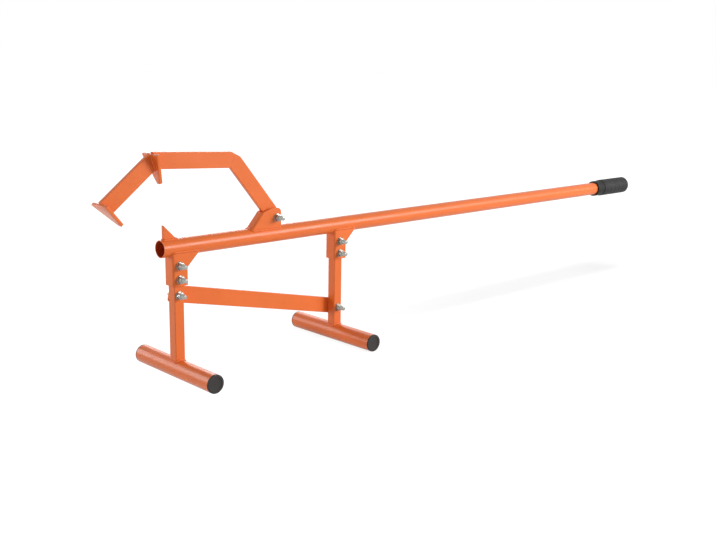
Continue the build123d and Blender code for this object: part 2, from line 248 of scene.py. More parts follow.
class PlugSettings(PropertyGroup):
    """Moulded plastic end plugs of the feet."""

    flange: length("Flange", "Thickness of the flange", 3)
    rim: length("Rim", "Round on the flange's rim", 1.2)
    dish_margin: length("Dish margin", "Width of the flange's flat rim round the dish", 5)
    dish: length("Dish", "Depth of the dish", 1)
    dish_lip: length("Dish lip", "Broken edge round the dish", 0.2)
    gate: length("Gate mark", "Radius of the moulding's gate mark in the dish", 1.6)
    gate_height: length("Gate height", "Height of the gate mark", 0.35)
    gate_taper: length("Gate taper", "How much narrower the gate mark is at its top", 0.3)
    spigot_length: length("Spigot", "Length of the spigot in the tube", 14)
    spigot: length("Spigot width", "Outer diameter of the spigot", 29.8)
    spigot_wall: length("Spigot wall", "Wall of the spigot", 2.5)
    lead_in: length("Lead-in", "Broken edge on the spigot's end", 0.8)
    colour: tone("Colour", "Black of the plastic", "2B2726")
    shiny: share("Shiny", "Roughness of the plastic where it is cleanest", 0.42)
    dull: share("Dull", "Roughness of the plastic under its bloom", 0.56)
    grain: length("Grain", "Width of the moulded grain", 0.7)


class WeldSettings(PropertyGroup):
    """Weld beads under the powder coat, the bars and folds that they follow, and the teeth's edges."""

    bead: length("Bead", "Radius of a weld bead", 2.0)
    ripple: length("Ripple", "Distance from one ripple to the next", 2.2)
    swell: share("Swell", "Share by which a ripple swells the bead", 0.06)
    trail: angle("Trail", "How far a ripple trails at the bead's sides", 75)
    root: share("Root", "Share of its radius that a bead reaches into the tube's wall", 0.25)
    lift: length("Lift", "From the corner out to the bead's middle", 0.3)
    seam_proud: length("Seam", "Height of the dressed seam at the hook's rear corner", 0.5)
    turn: length("Turn", "Radius at which a bead turns the corners of the spike and the bars", 1)
    fold_leg: length("Leg bracket fold", "Outer radius of the leg brackets' folds", 4)
    fold_pivot: length("Pivot bracket fold", "Outer radius of the pivot bracket's folds", 5)
    post_corner: length("Post corner", "Corner radius of the posts", 1.5)
    bar_width: length("Bar width", "Width of the hook's bars", 30)
    bar_thick: length("Bar thickness", "Thickness of the hook's bars", 8)
    tooth_thick: length("Tooth thickness", "Thickness of the teeth", 6)
    tooth_rise: length("Tooth rise", "Height of a tooth outside the bars' middle line", 12)
    corner_flat: length("Corner flat", "From the rear corner to the flat that cuts it", 11)
    tooth_edge: length("Tooth edge", "Round on the teeth's edges", 0.7)


class StageSettings(PropertyGroup):
    """Camera, floor and lamps."""

    camera_place: place("Camera place", "Offset from under the tube's open end", (-0.9024, -1.4532, 0.5828))
    camera_azimuth: angle("Azimuth", "Camera heading", -43.67)
    camera_elevation: angle("Elevation", "Camera height", 12.45)
    camera_roll: angle("Roll", "Camera roll", 1.04)
    floor_half: length("Floor", "Half the floor's side", 20000)
    bounce: share("Bounce", "Share of the light on the floor that it gives back to the lever", 0.25)
    shadow_place: place("Shadow place", "Point on the floor where shadows show most", (0.58, -0.15, 0))
    shadow_share: share("Shadow share", "Share of the light on the floor that shows there", 0.245)
    floor_level: share("Floor level", "Glow that the floor shows there as well", 0.5)
    far_level: share("Far level", "Glow of the plain white floor", 1.15, 2)
    shadow_reach: length("Shadow reach", "Distance at which the floor starts to turn plain white", 300)
    shadow_end: length("Shadow end", "Distance at which the floor is plain white", 1300)
    surround_level: share("Surroundings", "Light level at the horizon", 0.45)
    ceiling_level: share("Ceiling", "Light level straight above", 0.12)
    aim: place("Aim", "Point that the lamps face", (-0.4, 0, 0.2))
    softbox: length("Softbox", "Side of the softboxes", 1200)
    overhead_softbox: length("Overhead softbox", "Side of the overhead lamp, which casts the shadow", 2000)
    key_place: place("Key lamp", "Main lamp, in front and to the right", (1.2, -2.3, 1.2))
    key_power: power("key", 63)
    rear_place: place("Rear lamp", "Lamp beyond the hand grip, for the tube's highlight", (2.0, -1.6, 1.2))
    rear_power: power("rear", 16)
    side_place: place("Side lamp", "Lamp on the far side, by the hook", (-1.8, 1.8, 0.8))
    side_power: power("side", 22)
    fill_place: place("Fill lamp", "Low lamp in front of the open end", (-2.6, -0.3, 0.4))
    fill_power: power("fill", 6)
    back_place: place("Back lamp", "Lamp on the far side, by the hand grip", (1.0, 2.2, 1.2))
    back_power: power("back", 14)
    overhead_place: place("Overhead lamp", "Lamp above, which lights the floor alone", (-0.18, -1.06, 4.8))
    overhead_power: power("overhead", 330)


class LeverSettings(PropertyGroup):
    """All the sizes and colours that a user would change."""

    coat: PointerProperty(type=CoatSettings)
    hardware: PointerProperty(type=HardwareSettings)
    grip: PointerProperty(type=GripSettings)
    plug: PointerProperty(type=PlugSettings)
    weld: PointerProperty(type=WeldSettings)
    stage: PointerProperty(type=StageSettings)


def add_node(tree, kind, inputs=None, **settings):
    """Add a node of a kind, named without its ShaderNode prefix. The inputs are values, sockets to link from,
    or nodes to link from by their first live output. The settings are the node's own properties."""
    node = tree.nodes.new(f"ShaderNode{kind}")
    for key, value in settings.items():
        setattr(node, key, value)
    for key, value in (inputs or {}).items():
        if isinstance(value, bpy.types.Node):
            value = next(output for output in value.outputs if output.enabled)
        if isinstance(value, bpy.types.NodeSocket):
            tree.links.new(value, node.inputs[key])
        else:
            node.inputs[key].default_value = value
    return node


def new_material(name):
    """An empty node material, its tree, and the Object coordinates that its patterns read."""
    material = bpy.data.materials.get(name) or bpy.data.materials.new(name)
    material.use_nodes = True
    tree = material.node_tree
    tree.nodes.clear()
    return material, tree, add_node(tree, "TexCoord").outputs["Object"]


def finish(material, pattern, colour, tones, shine, relief, surface, patch=None):
    """Finish a material. Its pattern takes the colour from one tone to the other and the roughness from shiny
    to dull. The relief, coarser than a real one so that it shows, tilts the surface. A patch of painted
    shade, given as its place and its colour, covers the pattern."""
    tree = material.node_tree
    dark, light = (shade(colour, factor) for factor in tones)
    tint = add_node(tree, "Mix", {"Factor": pattern, "A": dark, "B": light}, data_type="RGBA")
    if patch:
        where, plain = patch
        tint = add_node(tree, "Mix", {"Factor": where, "A": tint, "B": shade(plain)}, data_type="RGBA")
    sheen = add_node(tree, "MapRange", {"Value": pattern, **shine})
    skin = add_node(tree, "Bump", relief)
    whole = {"Base Color": tint, "Roughness": sheen, "Normal": skin, **surface}
    add_node(tree, "OutputMaterial", {"Surface": add_node(tree, "BsdfPrincipled", whole)})
    return material


def powder_coat(coat, name, bore_shade_radius=0.0):
    """Orange powder coat: polyester sprayed dry and baked. It gives an even satin colour that drifts a little
    where the coat is thicker, and its highlights waver over the dimples of orange peel. Within the bore
    radius of the lever tube's axis it is darker, with painted shade of the deep bore on its thin coat."""
    material, tree, spot = new_material(name)
    soft = {"Vector": spot, "Scale": 1 / coat.drift, "Detail": 3.0, "Roughness": 0.5}
    drift = add_node(tree, "TexNoise", soft)
    dimples = {"Vector": spot, "Scale": 1 / coat.peel, "Detail": 2.0, "Roughness": 0.4}
    peel = add_node(tree, "TexNoise", dimples)
    patch = None
    # Within the bore the colour is painted shade of the deep bore
    if bore_shade_radius:
        section = {0: spot, 1: (0, 1, 1), 2: (0, 0, -TUBE_AXIS_Z)}
        from_axis = add_node(tree, "VectorMath", section, operation="MULTIPLY_ADD")
        away = add_node(tree, "VectorMath", {0: from_axis}, operation="LENGTH")
        patch = (add_node(tree, "Math", {0: away, 1: bore_shade_radius}, operation="LESS_THAN"), coat.bore)
    shine = {**NOISE_SPAN, "To Min": coat.shiny, "To Max": coat.dull}
    relief = {"Height": peel, "Distance": coat.peel_depth, "Strength": coat.peel_strength}
    return finish(material, drift, coat.colour, COAT_TONES, shine, relief, COAT_SURFACE, patch)


def zinc_plate(hardware):
    """Bright zinc plate: barrel plated and passivated. It gives a pale silver with soft patches, a little
    bluer or yellower, and the dull nicks of parts that tumbled together."""
    material, tree, spot = new_material("bright_zinc_plate")
    soft = {"Vector": spot, "Scale": 1 / hardware.patch, "Detail": 4.0, "Roughness": 0.6}
    patches = add_node(tree, "TexNoise", soft)
    shine = {**NICK_SPAN, "To Min": hardware.shiny, "To Max": hardware.dull}
    relief = {"Height": patches, "Distance": hardware.relief, "Strength": 0.15}
    return finish(material, patches, hardware.zinc, ZINC_TONES, shine, relief, METAL_SURFACE)


def turned_steel(hardware):
    """Plain turned steel with a film of oil: the rings left by the tool run round the bush, square to its
    axis, and streak its even shine."""
    material, tree, spot = new_material("oiled_turned_steel")
    marks = {"Vector": spot, "Scale": WAVE_SPACING / hardware.turning, "Distortion": 0.6, "Detail": 2.0}
    rings = add_node(tree, "TexWave", marks, wave_type="BANDS", bands_direction="Y").outputs["Fac"]
    shine = {"To Min": hardware.steel_roughness, "To Max": hardware.steel_roughness}
    relief = {"Height": rings, "Distance": hardware.relief, "Strength": 0.3}
    return finish(material, rings, hardware.steel, TURNED_TONES, shine, relief, METAL_SURFACE)


def moulded_black(name, look, shaded_neck_end=None):
    """Moulded black rubber or plastic: the grain from the mould breaks up the shine, and a thin bloom of dust
    and release agent turns it greyer and duller in soft patches. A neck that ends at this x is a deeper
    black, painted shade of the gap round the tube."""
    material, tree, spot = new_material(name)
    soft = {"Vector": spot, "Scale": 1 / BLOOM, "Detail": 4.0, "Roughness": 0.6}
    bloom = add_node(tree, "TexNoise", soft)
    cells = {"Vector": spot, "Scale": 1 / look.grain, "Smoothness": 0.6}
    grain = add_node(tree, "TexVoronoi", cells, feature="SMOOTH_F1").outputs["Distance"]
    patch = None
    # A deeper black on the neck is painted shade
    if shaded_neck_end is not None:
        along = add_node(tree, "SeparateXYZ", {0: spot}).outputs["X"]
        patch = (add_node(tree, "Math", {0: along, 1: shaded_neck_end}, operation="LESS_THAN"), look.neck_painted_shade)
    shine = {**NOISE_SPAN, "To Min": look.shiny, "To Max": look.dull}
    relief = {"Height": grain, "Distance": GRAIN_DEPTH, "Strength": 0.65}
    return finish(material, bloom, look.colour, MOULDED_TONES, shine, relief, MOULDED_SURFACE, patch)


def paint(nodes, material):
    """Give the solids of these nodes one material."""
    for node in nodes:
        mesh = frame["nodes"][node].data
        mesh.materials.clear()
        mesh.materials.append(material)


def slot_nodes(slot):
    """The nodes that take their finish from one of the record's material slots."""
    return [piece["node"] for piece in frame["record"]["subparts"] if piece["material_slot"] == slot]


def grid_surface(points, closed_rows=False):
    """Vertices and quads of a grid of points. Each row closes on itself, and the last may meet the first."""
    rows, columns = points.shape[:2]
    index = np.arange(rows * columns).reshape(rows, columns)
    index = np.hstack([index, index[:, :1]])
    if closed_rows:
        index = np.vstack([index, index[:1]])
    quads = np.stack([index[:-1, :-1], index[1:, :-1], index[1:, 1:], index[:-1, 1:]], axis=-1)
    return points.reshape(-1, 3), quads.reshape(-1, 4)


def closed_mesh(name, vertices, faces, merge, edge=0.0):
    """A mesh with near points merged and its faces turned outwards. Where a width is given for its edges,
    flat faces are joined first, and every edge that is left is rounded by that much."""
    mesh = bpy.data.meshes.new(name)
    mesh.from_pydata(vertices.tolist(), [], faces)
    shape = bmesh.new()
    shape.from_mesh(mesh)
    bmesh.ops.remove_doubles(shape, verts=shape.verts, dist=merge)
    bmesh.ops.dissolve_degenerate(shape, edges=shape.edges, dist=merge)
    if edge:
        bmesh.ops.dissolve_limit(shape, angle_limit=FLAT_ANGLE, verts=shape.verts, edges=shape.edges)
        edges = shape.edges[:]
        bmesh.ops.bevel(shape, geom=edges, offset=edge, segments=EDGE_ROWS, profile=0.5, affect="EDGES")
    bmesh.ops.recalc_face_normals(shape, faces=shape.faces)
    shape.to_mesh(mesh)
    shape.free()
    return mesh


def add_piece(name, mesh, material, body, replaced=()):
    """Link a mesh, smooth with its creases sharp, as a piece that rides a body, with its material, and hide
    the nodes that it stands for."""
    mesh.shade_smooth()
    mesh.set_sharp_from_angle(angle=SHARP_ANGLE)
    mesh.materials.append(material)
    piece = bpy.data.objects.new(name, mesh)
    bpy.context.scene.collection.objects.link(piece)
    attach(piece, body)
    if replaced:
        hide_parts(*replaced)


def make_piece(name, surfaces, material, body, replaced=()):
    """One piece from one or more grid surfaces, with their poles merged."""
    starts = np.cumsum([0] + [len(vertices) for vertices, _ in surfaces])
    vertices = np.concatenate([vertices for vertices, _ in surfaces])
    quads = np.concatenate([quads + start for (_, quads), start in zip(surfaces, starts)])
    mesh = closed_mesh(name, vertices, quads.tolist(), MERGE)
    add_piece(name, mesh, material, body, replaced)


def unit(vectors):
    """Vectors at length 1, along the last axis."""
    return vectors / np.linalg.norm(vectors, axis=-1, keepdims=True)


def turn_angles(sides=TURN_SIDES):
    """Even angles round a full turn."""
    return np.linspace(0, 2 * pi, sides, endpoint=False)


def ring_points(stations, radii, middle, axis):
    """Points at radius r(station, angle) round an axis along X or Y through the middle."""
    angles = turn_angles(radii.shape[1])
    along = np.repeat(stations[:, None], radii.shape[1], axis=1)
    wide = middle[0] + radii * np.cos(angles)
    high = middle[1] + radii * np.sin(angles)
    return np.stack([wide, along, high] if axis == "Y" else [along, wide, high], axis=-1)


def turned(outline, middle, axis, reach=None):
    """Turned surface: at each row of the outline (station, radius) a ring round the axis. Where a reach is
    given, an array over the angles, the ring is the smaller of the radius and that reach at each angle."""
    radii = np.repeat(outline[:, 1:], TURN_SIDES, axis=1)
    if reach is not None:
        radii = np.minimum(radii, reach)
    return ring_points(outline[:, 0], radii, middle, axis)


def rounded(start, stop, bulge):
    """Rows of an elliptic quarter round from one outline point to another. With the bulge 'station' it leaves
    along the axis, and with 'radius' across it."""
    turn = np.linspace(0, pi / 2, ROUND_ROWS)
    early, late = np.sin(turn), 1 - np.cos(turn)
    shares = (early, late) if bulge == "station" else (late, early)
    (s0, r0), (s1, r1) = start, stop
    return np.stack([s0 + (s1 - s0) * shares[0], r0 + (r1 - r0) * shares[1]], axis=1)


def hex_reach(across):
    """A hexagon's reach from its middle at each angle, with a corner at angle 0: half across over the cosine
    of the angle from the nearest flat's middle."""
    return across / 2 / np.cos(turn_angles() % (pi / 3) - pi / 6)


def hex_rows(hardware, foot, crown, crown_cone):
    """Outline rows of a hexagon between two stations. A 30-degree cone cuts its corners at the foot, and its
    mirror image may do so at the crown."""
    corner = hardware.across / 2 / cos(pi / 6)
    face = hardware.across / 2 * hardware.face
    slope = (corner - face) * tan(pi / 6) * np.sign(crown - foot)
    step = np.linspace(0, 1, ROUND_ROWS)
    cone = np.stack([foot + slope * step, face + (corner - face) * step], axis=1)
    if not crown_cone:
        return np.concatenate([cone, [(crown, corner)]])
    return np.concatenate([cone, cone[::-1] * (-1, 1) + (foot + crown, 0)])


def lock_nut(hardware, middle, crown, seat):
    """Lock nut: hexagon with coned corners, then a round collar with a rolled edge, and a bore through."""
    rise = np.sign(crown - seat)
    bore = hardware.bolt / 2 + ROOM
    edge = hardware.edge
    collar = hardware.collar / 2
    collar_seat = seat + rise * hardware.collar_start
    roll = hardware.collar_roll
    outline = np.concatenate(
        [
            [(seat + rise * edge, bore), (seat, bore + edge)],
            hex_rows(hardware, seat, collar_seat, True),
            [(collar_seat, collar)],
            rounded((crown - rise * roll, collar), (crown, collar - roll), "station"),
            [(crown, bore + edge), (crown - rise * edge, bore)],
        ]
    )
    return grid_surface(turned(outline, middle, "Y", hex_reach(hardware.across)), closed_rows=True)


def hex_bolt(hardware, middle, tip, crown):
    """Hex bolt: coned head, washer face, shank, and a thread whose radius is a triangle wave of the way along
    in pitches plus the share of a turn, cut by a cone at the tip."""
    radius = hardware.bolt / 2
    root = radius - hardware.thread_depth
    seat = crown - hardware.head
    step = seat + hardware.washer_face
    face = hardware.across / 2 * hardware.face
    body = np.concatenate(
        [
            [(crown, 0.0)],
            hex_rows(hardware, crown, step, False),
            [(step, face), (seat, face), (seat, radius), (tip + hardware.thread_run, radius)],
        ]
    )
    head_points = turned(body, middle, "Y", hex_reach(hardware.across))
    stations = np.arange(hardware.thread_run, 0, -hardware.pitch / THREAD_ROWS)[1:]
    turns = stations[:, None] / hardware.pitch + turn_angles() / (2 * pi)
    wave = np.abs(2 * (turns % 1) - 1)
    radii = np.minimum(radius - hardware.thread_depth * wave, root + stations[:, None])
    thread_points = ring_points(tip + stations, radii, middle, "Y")
    end = np.array([(tip, root - hardware.tip), (tip, 0.0)])
    return grid_surface(np.concatenate([head_points, thread_points, turned(end, middle, "Y")]))


def flat_ring(middle, start, stop, inner, outer, edge):
    """Flat washer or spacer: a ring of rectangular section, between two radii, with its four edges broken."""
    corners = np.array([(start, inner), (start, outer), (stop, outer), (stop, inner)])
    ways = unit(np.roll(corners, -1, axis=0) - corners)
    outline = np.stack([corners - edge * np.roll(ways, 1, axis=0), corners + edge * ways], axis=1)
    return grid_surface(turned(outline.reshape(-1, 2), middle, "Y"), closed_rows=True)


def paired_places(node, half_wide, half_high):
    """Middles, in x and z, of one fastener, or of a pair that runs down and back from the box's front top."""
    low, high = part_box(node)
    upper = (low.x + half_wide, high.z - half_high)
    lower = (high.x - half_wide, low.z + half_high)
    return [upper] if np.allclose(upper, lower, atol=SOLID_MERGE) else [upper, lower]


class LEVER_OT_hardware(Operator):
    """Threaded bolts, lock nuts, washers and spacers in zinc plate, and the bush in turned steel"""

    bl_idname = "felling_lever.hardware"
    bl_label = "Hardware"

    def execute(self, context):
        hardware = context.scene.felling_lever.hardware
        zinc = zinc_plate(hardware)
        flat = hardware.across / 2
        corner = flat / cos(pi / 6)
        washer = (hardware.washer_inner, hardware.washer_outer, hardware.washer_thick)
        spacer = (hardware.spacer_inner, hardware.spacer_outer, hardware.spacer_thick)
        for bolts, nuts, washers in FASTENERS:
            for node, form, shape in ((bolts, "threaded", hex_bolt), (nuts, "collared", lock_nut)):
                low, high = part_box(node)
                places = paired_places(node, corner, flat)
                shapes = [shape(hardware, middle, low.y, high.y) for middle in places]
                make_piece(f"{node}_{form}", shapes, zinc, "frame", [node])
            self.ring_pairs(hardware, zinc, washers, *washer)
        self.ring_pairs(hardware, zinc, "pivot_spacers", *spacer)
        paint(slot_nodes("turned_steel"), turned_steel(hardware))
        return {"FINISHED"}

    @staticmethod
    def ring_pairs(hardware, zinc, node, bore, width, thick):
        """Flat rings for a node: one against each end of its box along Y, at each place."""
        low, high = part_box(node)
        shapes = [
            flat_ring(middle, start, start + thick, bore / 2, width / 2, hardware.edge)
            for middle in paired_places(node, width / 2, width / 2)
            for start in (low.y, high.y - thick)
        ]
        make_piece(f"{node}_broken_edge", shapes, zinc, "frame", [node])


def grip_radius(along, grip, body_radius):
    """Grip's outer radius at distances from its front edge: a smooth step from neck to body, less one cosine
    dip for each ring groove."""
    step = np.clip((along - grip.neck_length) / grip.rise, 0, 1)
    radius = grip.neck / 2 + (body_radius - grip.neck / 2) * step * step * (3 - 2 * step)
    away = along - (grip.neck_length + grip.rise + grip.groove_pitch / 2)
    nearest = np.clip(np.round(away / grip.groove_pitch), 0, None)
    off = np.clip(np.abs(away - nearest * grip.groove_pitch) / (grip.groove_width / 2), 0, 1)
    return radius - grip.groove_depth * (1 + np.cos(pi * off)) / 2


class LEVER_OT_grip(Operator):
    """Rubber hand grip with a neck, ring grooves and a rounded closed end"""

    bl_idname = "felling_lever.grip"
    bl_label = "Hand grip"

    def execute(self, context):
        grip = context.scene.felling_lever.grip
        low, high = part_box("hand_grip")
        surface = grid_surface(turned(self.outline(grip, low, high), (0, TUBE_AXIS_Z), "X"))
        # The neck, up to its length from the grip's front, takes the painted shade
        rubber = moulded_black("moulded_black_rubber", grip, low.x + grip.neck_length)
        make_piece("hand_grip_moulded", [surface], rubber, "frame", ["hand_grip"])
        return {"FINISHED"}

    @staticmethod
    def outline(grip, low, high):
        """Rows from the bore's end out over the lip, the neck and the grooves, round the closed end and over
        its dish to the gate mark."""
        body = (high.z - low.z) / 2
        bore = TUBE_RADIUS + ROOM
        neck = grip.neck / 2
        along = np.linspace(grip.lip, high.x - low.x - grip.end_round, GRIP_ROWS)
        dish = body - grip.end_round - grip.dish_margin
        floor = high.x - grip.end_dish
        gate = high.x - grip.end_dish / 2
        return np.concatenate(
            [
                [(TUBE_HIGH.x, 0.0), (TUBE_HIGH.x, bore), (low.x, bore), (low.x, neck - grip.lip)],
                rounded((low.x, neck - grip.lip), (low.x + grip.lip, neck), "radius")[1:-1],
                np.stack([low.x + along, grip_radius(along, grip, body)], axis=1),
                rounded((high.x - grip.end_round, body), (high.x, body - grip.end_round), "station")[1:],
                [(high.x, dish)],
                rounded((high.x, dish), (floor, dish * grip.dish_floor), "radius")[1:],
                [(floor, grip.gate), (gate, grip.gate_top), (gate, 0.0)],
            ]
        )


class LEVER_OT_plugs(Operator):
    """Plastic plugs in the feet, with a rounded rim, a dish and a gate mark"""

    bl_idname = "felling_lever.plugs"
    bl_label = "Foot plugs"

    def execute(self, context):
        plug = context.scene.felling_lever.plug
        plastic = moulded_black("moulded_black_plastic", plug)
        for leg in LEGS:
            low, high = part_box(f"{leg}_foot")
            middle = ((low.x + high.x) / 2, (low.z + high.z) / 2)
            radius = (high.z - low.z) / 2
            for side, seat, way in (("near", low.y, -1), ("far", high.y, 1)):
                outline = self.outline(plug, radius)
                outline[:, 0] = seat + way * outline[:, 0]
                node = f"{leg}_foot_plug_{side}"
                surface = grid_surface(turned(outline, middle, "Y"))
                make_piece(f"{node}_moulded", [surface], plastic, "frame", [node])
        return {"FINISHED"}

    @staticmethod
    def outline(plug, radius):
        """Rows from the gate mark over the dish and the rim, down the spigot and into its hollow."""
        dish = radius - plug.dish_margin
        floor = plug.flange - plug.dish
        gate = floor + plug.gate_height
        spigot = plug.spigot / 2
        hollow = spigot - plug.spigot_wall
        end = -plug.spigot_length
        return np.concatenate(
            [
                [(gate, 0.0), (gate, plug.gate - plug.gate_taper), (floor, plug.gate)],
                rounded((floor, dish - plug.dish), (plug.flange - plug.dish_lip, dish), "radius"),
                [(plug.flange, dish + plug.dish_lip)],
                rounded((plug.flange, radius - plug.rim), (plug.flange - plug.rim, radius), "radius"),
                [(0.0, radius), (0.0, spigot), (end + plug.lead_in, spigot), (end, spigot - plug.lead_in)],
                [(end, hollow), (0.0, hollow), (0.0, 0.0)],
            ]
        )


def even_path(corners, weld, closed):
    """Points along a path through the corners, at even steps that are a part of a bead's ripple."""
    if closed:
        corners = np.vstack([corners, corners[:1]])
    run = np.concatenate([[0], np.cumsum(np.linalg.norm(np.diff(corners, axis=0), axis=1))])
    steps = int(np.ceil(run[-1] / (weld.ripple / RIPPLE_ROWS)))
    marks = np.linspace(0, run[-1], steps + 1)
    marks = marks[:-1] if closed else marks
    return np.stack([np.interp(marks, run, column) for column in corners.T], axis=1)


def path_ahead(path, closed):
    """Unit direction of travel at each point of a path."""
    if closed:
        return unit(np.roll(path, -1, axis=0) - np.roll(path, 1, axis=0))
    return unit(np.gradient(path, axis=0))


def weld_bead(path, outward, weld, closed, proud=None):
    """Weld bead: round each path point a circle of radius r(s, a), with s the way along and a the angle from
    the outward direction. r swells by one cosine per ripple, which trails towards the bead's sides, and an
    open run's ends close in a half round. The circle's inner half is pressed to a shallow root. A seam that
    is dressed flat is sunk until it stands proud by that much."""
    ahead = path_ahead(path, closed)
    outward = unit(outward - np.sum(outward * ahead, axis=1, keepdims=True) * ahead)
    side = np.cross(ahead, outward)
    path = path + outward * (weld.lift if proud is None else proud - weld.bead)
    gaps = np.linalg.norm(np.roll(path, -1, axis=0) - path, axis=1)
    along = np.concatenate([[0], np.cumsum(gaps)[:-1]])
    total = along[-1] + gaps[-1] * closed
    angles = turn_angles(BEAD_SIDES)
    phase = 2 * pi * np.round(total / weld.ripple) * along / total
    radii = weld.bead * (1 + weld.swell * np.cos(phase[:, None] + weld.trail * (1 - np.cos(angles))))
    if not closed:
        inset = np.clip(np.minimum(along, total - along) / weld.bead, 0, 1)
        radii = radii * np.sqrt(1 - (1 - inset[:, None]) ** 2)
    height = np.maximum(np.cos(angles), weld.root * np.cos(angles))
    spread = height[:, None] * outward[:, None] + np.sin(angles)[:, None] * side[:, None]
    return grid_surface(path[:, None] + radii[..., None] * spread, closed_rows=closed)


def round_rectangle(front, rear, half, corner):
    """Closed path round a rectangle with rounded corners: four quarter turns, anticlockwise from the rear."""
    turn = np.linspace(0, pi / 2, ROUND_ROWS) + np.arange(4)[:, None] * pi / 2
    x = np.array([rear - corner, front + corner, front + corner, rear - corner])[:, None]
    y = np.array([half - corner, half - corner, corner - half, corner - half])[:, None]
    return np.stack([x + corner * np.cos(turn), y + corner * np.sin(turn)], axis=-1).reshape(-1, 2)


def folded_bracket(front, rear, half, corner):
    """Open path round a folded bracket: forward along one side, across the front, back along the other."""
    folds = round_rectangle(front, rear, half, corner)[ROUND_ROWS:-ROUND_ROWS]
    return np.concatenate([[(rear, half)], folds, [(rear, -half)]])


def bead_on_tube(weld, plan, closed, axis, middle, height, radius, top):
    """Bead where an upright wall, given by its plan, meets a round tube along X or Y. Each plan point is
    carried to the tube's top or underside, and the bead faces midway between the wall and the tube."""
    plan = even_path(plan, weld, closed)
    ahead = path_ahead(plan, closed)
    wall = np.stack([ahead[:, 1], -ahead[:, 0], 0 * ahead[:, 0]], axis=1)
    across = plan[:, 1] if axis == "X" else plan[:, 0] - middle
    rise = np.sqrt(radius**2 - across**2) * (1 if top else -1)
    path = np.stack([plan[:, 0], plan[:, 1], height + rise], axis=1)
    flat = 0 * across
    tube = np.stack([flat, across, rise] if axis == "X" else [across, flat, rise], axis=1) / radius
    return weld_bead(path, wall + tube, weld, closed)


def bead_on_lever(weld, node, corner, closed, top):
    """Bead where a node meets the lever tube's top or underside: closed round a solid foot, open round a
    folded bracket."""
    low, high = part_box(node)
    plan = (round_rectangle if closed else folded_bracket)(low.x, high.x, high.y, corner)
    return bead_on_tube(weld, plan, closed, "X", 0, TUBE_AXIS_Z, TUBE_RADIUS, top)


def bead_on_plate(weld, middle, plate, inward, reach):
    """Bead where a bar's end meets a tooth: from the tooth's outer edge down one broad side of the bar, round
    its inner edge and back up the other. The plate's direction and the way inward are in the hook's plane."""
    plan = folded_bracket(-reach, weld.tooth_rise, weld.bar_thick / 2, weld.turn)
    plan = even_path(plan, weld, False)
    ahead = path_ahead(plan, False)
    across = np.array([0.0, 1.0, 0.0])
    path = middle - plan[:, :1] * inward + plan[:, 1:] * across
    wall = -ahead[:, 1:] * inward - ahead[:, :1] * across
    return weld_bead(path, wall + plate, weld, False)


def slope_direction(degrees):
    """Direction in the hook's plane, forwards and up by this slope."""
    return np.array([-cos(radians(degrees)), 0.0, sin(radians(degrees))])


